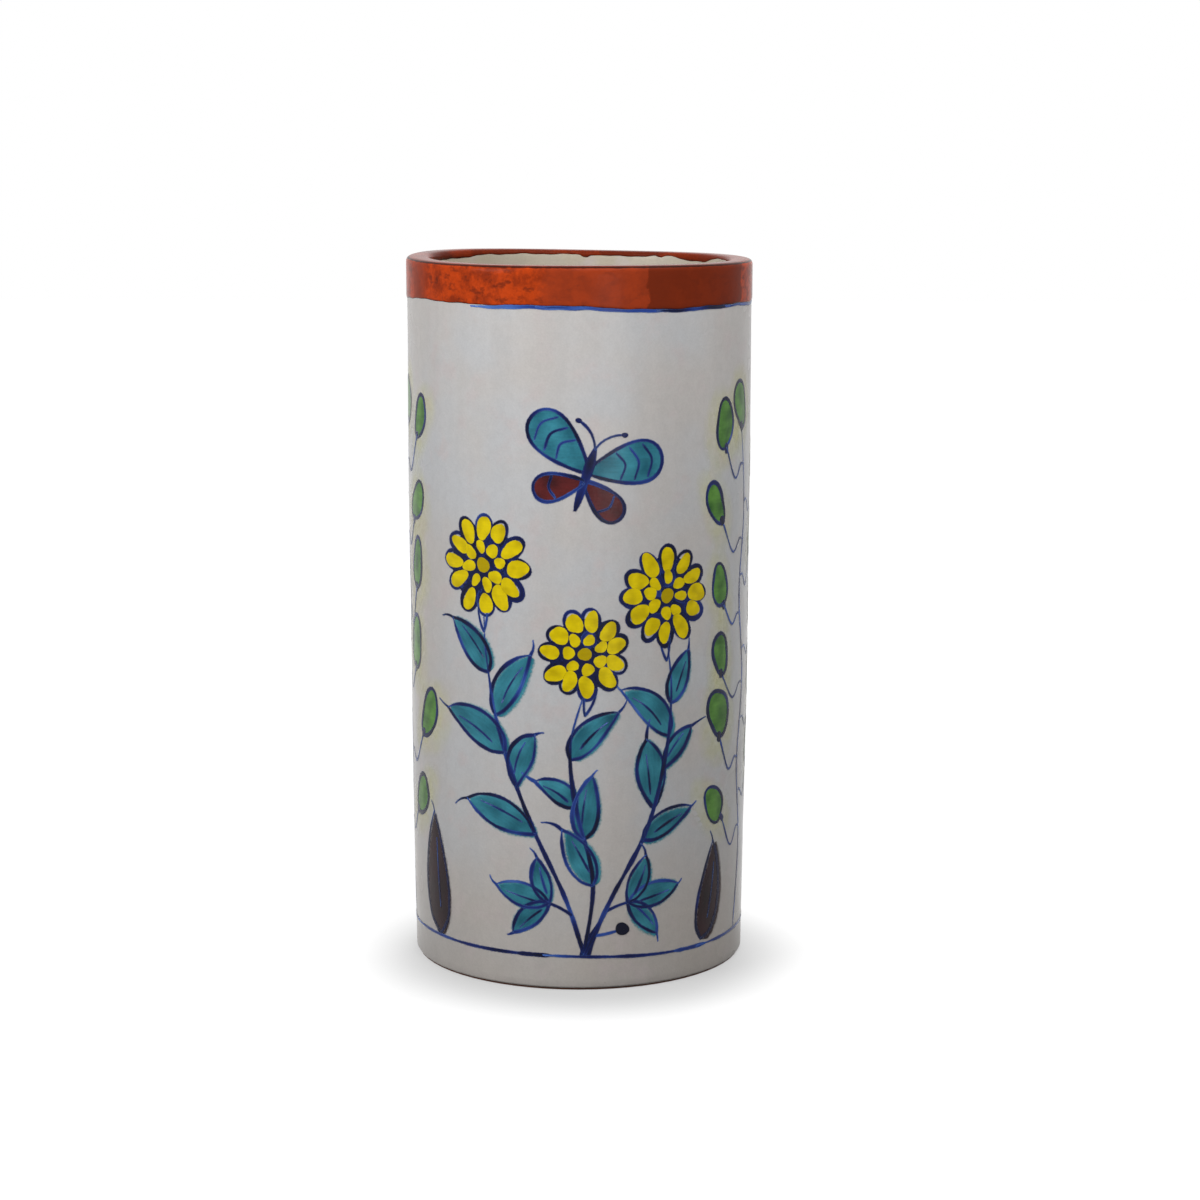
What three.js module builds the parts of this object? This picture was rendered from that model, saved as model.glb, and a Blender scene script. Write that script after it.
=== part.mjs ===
import * as THREE from 'three';

// A tall hand-built terracotta flower vase with fired-on glaze coats.
// Millimetres, +Z up. The origin is on the table, at the middle of the foot ring.
// Angles run round the axis from the front (-Y) towards the right (+X).

// Overall form
const HEIGHT = 254;              // table to the mean crest of the glazed lip
const RIM_RADIUS = 62;           // outside of the rim band
const FOOT_DRAW_IN = 1.5;        // how much narrower the outside is at the foot
const DRAW_IN_POWER = 2.5;       // how late, on the way down, the wall draws in

// Clay
const WALL_THICKNESS = 6.8;
const LIP_CROWN = 2.4;           // height of the lip's rounding
const LIP_SQUARENESS = 4;        // 2 makes it half an ellipse, more keeps its top flatter
const FOOT_ROUNDING = 0.8;       // softened outer edge of the foot
const FLOOR_THICKNESS = 8;
const FLOOR_LIFT = 1.5;          // underside of the floor above the table
const COIL_SIZE = 6;             // leg of the roll that seals the inside corner

// Glaze coats, each measured from what it covers to its own face
const SEAT = 0.02;               // hairline between a piece or coat and what carries it
const GLAZE = 0.5;               // white coat, inside and outside
const GLAZE_FEATHER = 0.8;       // height over which the white coat thickens at the foot
const BAND = 0.3;                // rim band, laid over the white coat
const BAND_DEPTH = 14.4;         // crest of the lip down to the band's mean edge outside
const BAND_INSIDE = 2.2;         // crest of the lip down to the band's mean edge inside
const BAND_FEATHER = 1;          // height over which the band thickens

// Painted lines
const PAINT = 0.12;              // how far the paint stands proud of the white coat
const RIM_LINE_WIDTH = 1.2;
const GROUND_LINE_HEIGHT = 11.7; // table up to the line's mean lower edge
const GROUND_LINE_WIDTH = 1.2;

// Ripples give how far a hand-made edge strays from its mean height at an angle. Each has
// its size in mm, its count round the vase and an angle where it peaks.
// The rim was cut and smoothed by hand, and stands highest at the back on the left.
const RIM_RISE_RIPPLES = [
  { size: 0.65, count: 1, peak: -135 },
  { size: 0.3, count: 2, peak: -120 },
  { size: 0.2, count: 3, peak: -120 },
];
// The brush wanders
const RIM_EDGE_RIPPLES = [
  { size: 0.8, count: 2, peak: -43 },
  { size: 0.35, count: 6, peak: -6 },
];
const INSIDE_EDGE_RIPPLES = [
  { size: 0.2, count: 3, peak: 60 },
  { size: 0.12, count: 8, peak: 20 },
];
const GROUND_LINE_RIPPLES = [
  { size: 0.7, count: 2, peak: -44 },
  { size: 0.2, count: 5, peak: 0 },
];

// Facets
const SEGMENTS = 64;             // round the axis
const WALL_STEPS = 4;            // up the curved part of the wall
const LIP_STEPS = 4;             // over each half of the lip
const FOOT_STEPS = 2;            // round the foot's softened edge
const COIL_STEPS = 4;            // across the hollow face of the corner coil
const SAME_PLACE = 1e-6;         // corners closer than this are one corner

// Places worked out from the sizes above
const clayRimRadius = RIM_RADIUS - BAND - GLAZE;
const lipHalfWidth = WALL_THICKNESS / 2;
const lipCentre = clayRimRadius - lipHalfWidth;
const lipStart = HEIGHT - BAND - GLAZE - LIP_CROWN;
const bandEdge = HEIGHT - BAND_DEPTH;
const bandEdgeInside = HEIGHT - BAND_INSIDE;
const groundLineTop = GROUND_LINE_HEIGHT + GROUND_LINE_WIDTH;
const floorTop = FLOOR_LIFT + FLOOR_THICKNESS;
const coilTop = floorTop + COIL_SIZE;

function reach(ripples) {
  return ripples.reduce((sum, { size }) => sum + size, 0);
}

function strayAt(angle, ripples) {
  return ripples.reduce((sum, { size, count, peak }) => {
    const fromPeak = angle - THREE.MathUtils.degToRad(peak);
    return sum + size * Math.cos(count * fromPeak);
  }, 0);
}

// The wall is straight under the lip, as far down as the band and its line reach,
// and again at the foot, as far up as the ground line reaches. Between them it curves.
const straightFrom = bandEdge - RIM_LINE_WIDTH - reach(RIM_EDGE_RIPPLES);
const straightTo = groundLineTop + reach(GROUND_LINE_RIPPLES);

const wallHeights = [0];
for (let i = 0; i <= WALL_STEPS; i += 1) {
  wallHeights.push(THREE.MathUtils.lerp(straightTo, straightFrom, i / WALL_STEPS));
}
wallHeights.push(lipStart);

function curveRadius(z) {
  const below = Math.max(0, straightFrom - z) / straightFrom;
  return clayRimRadius - FOOT_DRAW_IN * below ** DRAW_IN_POWER;
}

// Outside radius of the clay at a height, straight between two wall heights
function clayRadius(z) {
  const above = Math.max(1, wallHeights.findIndex((height) => height >= z));
  const low = wallHeights[above - 1];
  const high = wallHeights[above];
  return THREE.MathUtils.mapLinear(z, low, high, curveRadius(low), curveRadius(high));
}

function innerRadius(z) {
  return clayRadius(z) - WALL_THICKNESS;
}

// A corner of a section. One that follows ripples strays up and down with them, on the
// face that radiusAt gives.
function corner(r, z, ripples = [], radiusAt = clayRadius) {
  return { r, z, ripples, radiusAt };
}

// Corners between two angles of an ellipse, both ends included. More squareness than 2
// fills its shoulders out.
function arc(centreR, centreZ, width, height, from, to, steps, squareness = 2) {
  const filled = (share) => Math.sign(share) * Math.abs(share) ** (2 / squareness);
  return Array.from({ length: steps + 1 }, (unused, i) => {
    const angle = THREE.MathUtils.lerp(from, to, i / steps);
    const r = centreR + width * filled(Math.cos(angle));
    return corner(r, centreZ + height * filled(Math.sin(angle)));
  });
}

// Corners up the outside of the wall, a distance out from the clay
function upOutside(low, high, out) {
  const between = wallHeights.filter((z) => z > low && z < high);
  return [low, ...between, high].map((z) => corner(clayRadius(z) + out, z));
}

// Corners down the inside of the wall, a distance out from the clay, towards the axis
function downInside(high, low, out) {
  return upOutside(low, high, -WALL_THICKNESS - out).reverse();
}

// Corners over half of the lip, between two angles that meet at the crest
function overLip(from, to, out) {
  const width = lipHalfWidth + out;
  const height = LIP_CROWN + out;
  return arc(lipCentre, lipStart, width, height, from, to, LIP_STEPS, LIP_SQUARENESS);
}

function upLip(out) {
  return overLip(0, Math.PI / 2, out);
}

function downLip(out) {
  return overLip(Math.PI / 2, Math.PI, out);
}

// Corners over the hollow face of the corner coil, from the wall to the floor
function downCoil(out) {
  const centreR = innerRadius(floorTop) - COIL_SIZE;
  const width = innerRadius(coilTop) - centreR - out;
  return arc(centreR, coilTop, width, COIL_SIZE - out, 0, -Math.PI / 2, COIL_STEPS);
}

// Join stretches of corners, without the corner that two stretches share
function joined(...stretches) {
  return stretches.flat().filter(({ r, z }, i, all) => {
    return i === 0 || Math.hypot(r - all[i - 1].r, z - all[i - 1].z) > SAME_PLACE;
  });
}

function reversed(stretch) {
  return [...stretch].reverse();
}

// Radius of the inside face at a height, down the lip and the wall
function insideRadius(z, out) {
  const face = joined(downLip(out), downInside(lipStart, coilTop, out));
  const below = Math.max(1, face.findIndex((place) => place.z <= z));
  const [high, low] = [face[below - 1], face[below]];
  return THREE.MathUtils.mapLinear(z, low.z, high.z, low.r, high.r);
}

// A height near the rim, moved up or down with the uneven rim at an angle
function risen(angle, z) {
  const share = THREE.MathUtils.clamp((z - bandEdge) / (lipStart - bandEdge), 0, 1);
  return z + share * strayAt(angle, RIM_RISE_RIPPLES);
}

// Turn a section round the axis. It runs up on the outside and down on the inside, and
// closes on itself or ends on the axis.
function revolve(section) {
  const outline = section.map(({ r, z }) => new THREE.Vector2(r, z));
  const geometry = new THREE.LatheGeometry(outline, SEGMENTS);
  const places = geometry.getAttribute('position');
  for (let i = 0; i < places.count; i += 1) {
    const { r, z, ripples, radiusAt } = section[i % section.length];
    const angle = (2 * Math.PI * Math.floor(i / section.length)) / SEGMENTS;
    const strayedZ = z + strayAt(angle, ripples);
    const strayedR = r + radiusAt(strayedZ) - radiusAt(z);
    const [x, y] = [strayedR * Math.sin(angle), strayedR * Math.cos(angle)];
    places.setXYZ(i, x, risen(angle, strayedZ), y);
  }
  return geometry.rotateX(Math.PI / 2);
}

function ring(section) {
  return revolve([...section, section[0]]);
}

function clayWall() {
  const footCentre = clayRadius(FOOT_ROUNDING) - FOOT_ROUNDING;
  const footEdge = arc(
    footCentre, FOOT_ROUNDING, FOOT_ROUNDING, FOOT_ROUNDING, -Math.PI / 2, 0, FOOT_STEPS,
  );
  return ring(joined(
    footEdge,
    upOutside(FOOT_ROUNDING, lipStart, 0),
    upLip(0),
    downLip(0),
    downInside(lipStart, 0, 0),
  ));
}

function floorDisc() {
  return revolve([
    corner(0, FLOOR_LIFT),
    ...reversed(downInside(floorTop, FLOOR_LIFT, SEAT)),
    corner(0, floorTop),
  ]);
}

// The coil lies flat on the floor and against the wall
function cornerCoil() {
  return ring([
    ...reversed(downInside(coilTop, floorTop, SEAT)),
    ...downCoil(0).slice(1),
  ]);
}

// The lining covers the floor, the coil and the wall, and ends at the crest of the lip
function innerGlaze() {
  const down = (out) => joined(downLip(out), downInside(lipStart, coilTop, out), downCoil(out));
  return revolve([
    corner(0, floorTop + SEAT),
    ...reversed(down(SEAT)),
    ...down(GLAZE),
    corner(0, floorTop + GLAZE),
  ]);
}

// The outer coat feathers out at the foot and meets the lining at the crest of the lip
function outerGlaze() {
  return ring(joined(
    [corner(clayRadius(FOOT_ROUNDING) + SEAT, FOOT_ROUNDING)],
    upOutside(FOOT_ROUNDING + GLAZE_FEATHER, lipStart, GLAZE),
    upLip(GLAZE),
    reversed(upLip(SEAT)),
    reversed(upOutside(FOOT_ROUNDING, lipStart, SEAT)).slice(0, -1),
  ));
}

// The band lies over both white coats, from its uneven edge on the wall to the one that
// wanders just over the crest of the lip
function rimBand() {
  const outside = (out) => clayRadius(bandEdge) + GLAZE + out;
  const insideEdge = (out) => {
    const radiusAt = (z) => insideRadius(z, GLAZE + out);
    return corner(radiusAt(bandEdgeInside), bandEdgeInside, INSIDE_EDGE_RIPPLES, radiusAt);
  };
  const highestInside = bandEdgeInside + reach(INSIDE_EDGE_RIPPLES);
  const toInsideEdge = (out) => downLip(GLAZE + out).filter(({ z }) => z > highestInside);
  return ring(joined(
    [
      corner(outside(SEAT), bandEdge, RIM_EDGE_RIPPLES),
      corner(outside(PAINT), bandEdge, RIM_EDGE_RIPPLES),
      corner(outside(BAND), bandEdge + BAND_FEATHER, RIM_EDGE_RIPPLES),
    ],
    upLip(GLAZE + BAND),
    toInsideEdge(BAND),
    [insideEdge(PAINT), insideEdge(SEAT)],
    reversed(toInsideEdge(SEAT)),
    reversed(upLip(GLAZE + SEAT)),
  ));
}

// A painted line on the outer coat, between two heights that stray together
function paintedLine(low, high, ripples) {
  const face = (z, out) => corner(clayRadius(z) + GLAZE + out, z, ripples);
  return ring([face(low, SEAT), face(low, PAINT), face(high, PAINT), face(high, SEAT)]);
}

const FIRED_CLAY = { color: 0xa85a3c, roughness: 0.9 };
const WHITE_GLAZE = { color: 0xcfcac3, roughness: 0.3 };
const ORANGE_BROWN_GLAZE = { color: 0x9c4321, roughness: 0.25 };
const COBALT = { color: 0x22307f, roughness: 0.35 };

function piece(name, geometry, look) {
  const mesh = new THREE.Mesh(geometry, new THREE.MeshStandardMaterial({ metalness: 0, ...look }));
  mesh.name = name;
  return mesh;
}

const clay = new THREE.Group();
clay.add(
  piece('clay_wall', clayWall(), FIRED_CLAY),
  piece('floor_disc', floorDisc(), FIRED_CLAY),
  piece('corner_coil', cornerCoil(), FIRED_CLAY),
);

const rimLine = paintedLine(bandEdge - RIM_LINE_WIDTH, bandEdge, RIM_EDGE_RIPPLES);
const groundLine = paintedLine(GROUND_LINE_HEIGHT, groundLineTop, GROUND_LINE_RIPPLES);

const coats = new THREE.Group();
coats.add(
  piece('inner_glaze', innerGlaze(), WHITE_GLAZE),
  piece('outer_glaze', outerGlaze(), WHITE_GLAZE),
  piece('rim_band', rimBand(), ORANGE_BROWN_GLAZE),
  piece('rim_line', rimLine, COBALT),
  piece('ground_line', groundLine, COBALT),
);

const vase = new THREE.Group();
vase.add(clay, coats);

export default vase;
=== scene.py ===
import math
import random
from math import cos, pi, radians, sin

import bpy
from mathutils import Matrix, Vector, noise


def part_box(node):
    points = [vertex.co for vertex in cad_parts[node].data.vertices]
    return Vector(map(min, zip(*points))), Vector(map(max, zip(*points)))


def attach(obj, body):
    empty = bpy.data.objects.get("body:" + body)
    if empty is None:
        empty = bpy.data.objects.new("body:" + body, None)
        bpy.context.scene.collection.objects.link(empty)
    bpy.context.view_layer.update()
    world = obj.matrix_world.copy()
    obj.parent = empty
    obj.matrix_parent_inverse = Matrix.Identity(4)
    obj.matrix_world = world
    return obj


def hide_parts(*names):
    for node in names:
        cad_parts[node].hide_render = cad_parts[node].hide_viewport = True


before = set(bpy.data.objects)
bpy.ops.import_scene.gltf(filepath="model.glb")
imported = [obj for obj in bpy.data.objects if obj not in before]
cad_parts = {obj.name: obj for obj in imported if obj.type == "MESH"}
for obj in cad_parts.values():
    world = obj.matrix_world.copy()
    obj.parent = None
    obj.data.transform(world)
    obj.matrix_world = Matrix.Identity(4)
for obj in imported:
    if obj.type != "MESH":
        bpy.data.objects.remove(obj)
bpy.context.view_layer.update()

# The looks of a tall hand-built terracotta vase: its fired clay, its white coats, the
# orange-brown rim band and the brush painting. Sizes are in millimetres until a mesh is
# made. Angles run round the axis from the front (-Y) towards the right (+X), and a place
# on the outside is (millimetres round from the front, millimetres up from the table).

MM = 0.001
FULL_TURN = 2 * pi

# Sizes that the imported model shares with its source
WALL_THICKNESS = 6.8
LIP_CROWN = 2.4
LIP_SQUARENESS = 4
GLAZE = 0.5
BAND = 0.3
SEAT = 0.02
FOOT_DRAW_IN = 1.5
DRAW_IN_POWER = 2.5
FOOT_ROUNDING = 0.8
GLAZE_FEATHER = 0.8
FLOOR_TOP = 9.5
COIL_SIZE = 6.0
BAND_DEPTH = 14.4
BAND_FEATHER = 1.0
STRAIGHT_BELOW_BAND = 2.35       # from the band's edge down to where the wall starts to draw in
GROUND_LINE_HEIGHT = 12.3

# How hand-made edges stray: size of each wave, its count round the vase, its peak in degrees
RIM_RISE_RIPPLES = ((0.65, 1, -135), (0.3, 2, -120), (0.2, 3, -120))
RIM_EDGE_RIPPLES = ((0.8, 2, -43), (0.35, 6, -6))
INSIDE_EDGE_RIPPLES = ((0.2, 3, 60), (0.12, 8, 20))
GROUND_LINE_RIPPLES = ((0.7, 2, -44), (0.2, 5, 0))


def strayed(angle, ripples):
    """How far a hand-made edge strays from its mean height at an angle."""
    return sum(size * cos(count * (angle - radians(peak))) for size, count, peak in ripples)


# Places worked out from the frame
HIGHEST_RISE = max(strayed(radians(degrees), RIM_RISE_RIPPLES) for degrees in range(360))
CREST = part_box("rim_band")[1].z / MM - HIGHEST_RISE
RIM_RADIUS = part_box("rim_band")[1].x / MM
CLAY_RADIUS = RIM_RADIUS - BAND - GLAZE
LIP_HALF_WIDTH = WALL_THICKNESS / 2
LIP_CENTRE = CLAY_RADIUS - LIP_HALF_WIDTH
LIP_START = CREST - BAND - GLAZE - LIP_CROWN
BAND_EDGE = CREST - BAND_DEPTH
STRAIGHT_FROM = BAND_EDGE - STRAIGHT_BELOW_BAND
FACE_RADIUS = CLAY_RADIUS + GLAZE

# Steps of the meshes, and how far the hand-smoothed wall swells in and out
SEGMENTS = 240
WALL_STEPS = 110
LINING_STEPS = 60
BROAD_SWELL = 0.26
CLOSE_SWELL = 0.07


def limit(value):
    return max(0.0, min(1.0, value))


def blend(low, high, share):
    return low + (high - low) * share


def shares(count):
    return [i / count for i in range(count + 1)]


def clay_radius(z):
    """Outside radius of the clay at a height."""
    below = max(0.0, STRAIGHT_FROM - z) / STRAIGHT_FROM
    return CLAY_RADIUS - FOOT_DRAW_IN * below ** DRAW_IN_POWER


def risen(angle, z):
    """A height near the rim, moved up or down with the uneven rim."""
    share = limit((z - BAND_EDGE) / (LIP_START - BAND_EDGE))
    return z + share * strayed(angle, RIM_RISE_RIPPLES)


def swell(angle, z, closeness, tall, start):
    """Soft noise on the wall, from -1 to 1: how close its waves are round it and how tall."""
    place = (closeness * sin(angle), -closeness * cos(angle), z / tall + start)
    return noise.noise(Vector(place))


def unevenness(angle, z):
    """How far the hand-smoothed outside lies in or out of its true place."""
    return BROAD_SWELL * swell(angle, z, 1.1, 70, 0) + CLOSE_SWELL * swell(angle, z, 4, 22, 9)


def unevenness_inside(angle, z):
    """The same for the inside of the wall. It dies out between 45 mm up and 15 mm up."""
    return unevenness(angle + 1, z) * limit(z / 30 - 0.5)


def on_glaze(place, lift):
    """A painted place, lifted off the outer white coat, in metres."""
    angle, z = place.x / FACE_RADIUS, place.y
    r = clay_radius(z) + (GLAZE + lift) + unevenness(angle, z)
    return Vector((r * sin(angle), -r * cos(angle), risen(angle, z))) * MM


# Meshes and pieces


def show(name, places, faces, slot, material, replaced=(), numbers=None):
    """A smooth piece on the one body, from places in metres, with its numbers per point."""
    mesh = bpy.data.meshes.new(name)
    mesh.from_pydata(places, [], faces)
    mesh.polygons.foreach_set("use_smooth", [True] * len(mesh.polygons))
    for label, (kind, field, values) in (numbers or {}).items():
        attribute = mesh.attributes.new(label, kind, "POINT")
        attribute.data.foreach_set(field, [number for value in values for number in value])
    mesh.materials.append(material)
    piece = bpy.data.objects.new(name, mesh)
    bpy.context.scene.collection.objects.link(piece)
    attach(piece, "root")
    if replaced:
        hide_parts(*replaced)
    return piece


def turned(name, rows, slot, material, replaced=(), ends_on_axis=False, numbers=None):
    """A piece from rows of places round the axis. The last row joins the first, unless
    both ends close on the axis."""
    places = [place * MM for row in rows for place in row]
    faces = []
    joins = len(rows) - 1 if ends_on_axis else len(rows)
    for i in range(joins):
        low, high = i * SEGMENTS, (i + 1) % len(rows) * SEGMENTS
        for j in range(SEGMENTS):
            k = (j + 1) % SEGMENTS
            faces.append((low + j, low + k, high + k, high + j))
    if ends_on_axis:
        faces.append(tuple(reversed(range(SEGMENTS))))
        faces.append(tuple(range((len(rows) - 1) * SEGMENTS, len(rows) * SEGMENTS)))
    return show(name, places, faces, slot, material, replaced, numbers)


def turn(place_at):
    """One row of places, from a radius and a height at each angle."""
    row = []
    for j in range(SEGMENTS):
        angle = FULL_TURN * j / SEGMENTS
        r, z = place_at(angle)
        row.append(Vector((r * sin(angle), -r * cos(angle), risen(angle, z))))
    return row


def on_lip(angle, share, out):
    """(radius, height) over the lip, from outside at share 0 over the crest to inside at 1."""
    side, rise = cos(pi * share), sin(pi * share)
    reach = math.copysign(abs(side) ** (2 / LIP_SQUARENESS), side)
    wander = unevenness(angle, LIP_START) if side > 0 else unevenness_inside(angle, LIP_START)
    r = LIP_CENTRE + reach * (LIP_HALF_WIDTH + out + wander)
    return r, LIP_START + (LIP_CROWN + out) * max(0.0, rise) ** (2 / LIP_SQUARENESS)


def lip_row(share, out):
    return turn(lambda angle: on_lip(angle, share, out))


def on_outside_wall(angle, z, out):
    """(radius, height) on the outside of the wall, a distance out from the clay."""
    return clay_radius(z) + out + unevenness(angle, z), z


def on_inside_wall(angle, z, out):
    """The same on the inside of the wall."""
    return clay_radius(z) - WALL_THICKNESS - out - unevenness_inside(angle, z), z


# Node helpers


def feed(tree, fed, inputs):
    """Give a node its inputs. Each is a value or another node's output."""
    for key, value in inputs.items():
        if isinstance(value, bpy.types.NodeSocket):
            tree.links.new(value, fed.inputs[key])
        else:
            fed.inputs[key].default_value = value


def node(tree, kind, inputs=None, **settings):
    """A new shader node with its inputs and settings."""
    made = tree.nodes.new("ShaderNode" + kind)
    for label, value in settings.items():
        setattr(made, label, value)
    feed(tree, made, inputs or {})
    return made


def place_on_object(tree):
    return node(tree, "TexCoord").outputs["Object"]


def height_of(tree, place):
    return node(tree, "SeparateXYZ", {"Vector": place}).outputs["Z"]


def numbers_of(tree, label):
    """The output of an attribute: Fac for one number, Vector or Color and Alpha for more."""
    return node(tree, "Attribute", attribute_name=label).outputs


def stretched(tree, vector, scale):
    return node(tree, "Mapping", {"Vector": vector, "Scale": scale}).outputs["Vector"]


def cloud(tree, vector, scale, detail=2.0, roughness=0.5):
    """Soft noise between 0 and 1. The scale counts its waves per unit of the vector."""
    inputs = {"Vector": vector, "Scale": scale, "Detail": detail, "Roughness": roughness}
    return node(tree, "TexNoise", inputs).outputs["Fac"]


def math_node(tree, operation, a, b=0.0):
    return node(tree, "Math", {0: a, 1: b}, operation=operation).outputs[0]


def ramp(tree, value, start, end, low=0.0, high=1.0):
    """A smooth step from low to high while the value goes from start to end."""
    inputs = {"Value": value, "From Min": start, "From Max": end, "To Min": low, "To Max": high}
    return node(tree, "MapRange", inputs, interpolation_type="SMOOTHSTEP").outputs["Result"]


def mix(tree, amount, a, b):
    made = node(tree, "Mix", {0: amount, 6: a, 7: b}, data_type="RGBA")
    return made.outputs[2]


def shade(tree, colour, value):
    """A colour made lighter or darker by a value round 1."""
    return node(tree, "HueSaturation", {"Color": colour, "Value": value}).outputs["Color"]


def mottled(tree, colour, clouds, darkest, lightest):
    """A colour made darker and lighter by soft noise."""
    return shade(tree, colour, ramp(tree, clouds, 0.3, 0.7, darkest, lightest))


def bump(tree, strength, distance, height, under=None):
    """The normals of a surface that a height raises, on top of any bumps under it."""
    inputs = {"Strength": strength, "Distance": distance, "Height": height}
    if under:
        inputs["Normal"] = under
    return node(tree, "Bump", inputs).outputs["Normal"]


def material_with(name, roughness, specular):
    """A new material, its node tree and its shader node."""
    material = bpy.data.materials.new(name)
    material.use_nodes = True
    tree = material.node_tree
    shader = tree.nodes["Principled BSDF"]
    feed(tree, shader, {"Roughness": roughness, "Specular IOR Level": specular})
    return material, tree, shader


def tint(red, green, blue):
    """A colour given as it shows on a screen, 0 to 255, made linear."""
    shown = (red / 255, green / 255, blue / 255)
    linear = [c / 12.92 if c <= 0.04045 else ((c + 0.055) / 1.055) ** 2.4 for c in shown]
    return Vector((*linear, 1.0))


def glaze_bump(tree, strength=1.0):
    """The soft waves and fine orange peel of a fired glaze, alike on every coat."""
    place = place_on_object(tree)
    waves = bump(tree, 0.04 * strength, 0.004, cloud(tree, place, 70.0))
    return bump(tree, 0.05 * strength, 0.0008, cloud(tree, place, 900.0), waves)


# Materials of the coats and the clay

COOL_WHITE = tint(190, 191, 193)
WARM_WHITE = tint(192, 188, 185)
PINK_WHITE = tint(194, 184, 183)
THIN_WHITE = tint(184, 176, 168)   # near the foot, where the clay glows through a thinner coat
THIN_UP_TO = 70                    # height at which that ends
LINING_WHITE = tint(186, 179, 165)
LINING_WARM = tint(184, 174, 155)
SPECK = tint(112, 98, 88)
GLAZE_ROUGHNESS = 0.24
GLAZE_SPECULAR = 0.12              # under that of glass: the glaze is thin and a little dull


def specks(tree, spacing, size, share):
    """Small round specks: 1 on a speck and 0 between them. A share of the cells has one."""
    cells = node(tree, "TexVoronoi", {"Vector": place_on_object(tree), "Scale": 1 / (spacing * MM)})
    chosen = node(tree, "SeparateColor", {"Color": cells.outputs["Color"]})
    reach = math_node(tree, "MULTIPLY", chosen.outputs["Green"], size / spacing)
    on_speck = math_node(tree, "LESS_THAN", cells.outputs["Distance"], reach)
    there = math_node(tree, "LESS_THAN", chosen.outputs["Red"], share)
    return math_node(tree, "MULTIPLY", on_speck, there)


def white_glaze_material(name, white, warm):
    """Warm off-white glaze: faint clouds, brushed streaks down the wall and iron specks."""
    material, tree, shader = material_with(name, GLAZE_ROUGHNESS, GLAZE_SPECULAR)
    place = place_on_object(tree)
    clouds = ramp(tree, cloud(tree, place, 26.0, 3.0), 0.35, 0.65)
    colour = mix(tree, clouds, white, warm)
    thin = ramp(tree, height_of(tree, place), 0, THIN_UP_TO * MM, 0.7, 0.0)
    colour = mix(tree, thin, colour, THIN_WHITE)
    blush = ramp(tree, cloud(tree, place, 95.0, 4.0, 0.6), 0.5, 0.72, 0.0, 0.55)
    colour = mix(tree, blush, colour, PINK_WHITE)
    streaks = cloud(tree, stretched(tree, place, (110.0, 110.0, 7.0)), 1.0, 3.0)
    colour = mottled(tree, colour, streaks, 0.98, 1.02)
    colour = mottled(tree, colour, cloud(tree, place, 330.0, 4.0, 0.6), 0.975, 1.02)
    colour = mottled(tree, colour, cloud(tree, place, 1500.0, 3.0, 0.7), 0.965, 1.035)
    speckled = math_node(tree, "MULTIPLY", specks(tree, 9.0, 0.45, 0.2), 0.6)
    colour = mix(tree, speckled, colour, SPECK)
    rough = ramp(tree, cloud(tree, place, 45.0), 0.3, 0.7, 0.20, 0.30)
    feed(tree, shader, {"Base Color": colour, "Roughness": rough, "Normal": glaze_bump(tree)})
    return material


CLAY_DARK = tint(150, 78, 52)
CLAY_LIGHT = tint(182, 104, 72)
CLAY_GRIT = tint(105, 58, 42)
CLAY_SAND = tint(214, 178, 150)
# painted shade: the clay darkens towards the bottom edge, where the foot meets the table
FOOT_CONTACT_SHADE = tint(72, 46, 36)
SHADE_FROM, SHADE_TO = 0.6, 2.4      # heights between which the painted shade at the table thins out


def clay_material():
    """Bare fired terracotta: mottled, gritty and matt, with painted shade where it meets the table."""
    material, tree, shader = material_with("fired_clay", 0.88, 0.3)
    place = place_on_object(tree)
    clouds = ramp(tree, cloud(tree, place, 60.0, 4.0), 0.3, 0.7)
    colour = mix(tree, clouds, CLAY_DARK, CLAY_LIGHT)
    colour = mix(tree, specks(tree, 2.4, 0.5, 0.35), colour, CLAY_GRIT)
    colour = mix(tree, specks(tree, 3.1, 0.45, 0.2), colour, CLAY_SAND)
    # painted shade, darker towards the bottom edge
    table_shade = ramp(tree, height_of(tree, place), SHADE_FROM * MM, SHADE_TO * MM, 0.85, 0.0)
    colour = mix(tree, table_shade, colour, FOOT_CONTACT_SHADE)
    grit = bump(tree, 0.5, 0.0006, cloud(tree, place, 1400.0, 4.0, 0.7))
    feed(tree, shader, {"Base Color": colour, "Normal": grit})
    return material


BAND_ORANGE = tint(188, 66, 22)
BAND_BROWN = tint(140, 48, 20)
BAND_SMUDGE = tint(96, 36, 22)
BAND_THIN_COAT = tint(140, 54, 30)
BAND_DOUBLE = tint(110, 40, 20)
# painted shade: the lip's top and the band inside are darkened, as if little light fell there
BAND_CREST_SHADE = tint(92, 34, 20)
# dark of the band's own brush edges, also used for a painted dark reflection along the lip's outer corner
BAND_EDGE_AND_REFLECTION_DARK = tint(50, 22, 18)
BAND_WORN = tint(180, 160, 146)
BAND_SPECULAR = 0.025              # so low that the lip hardly mirrors the white surroundings


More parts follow.
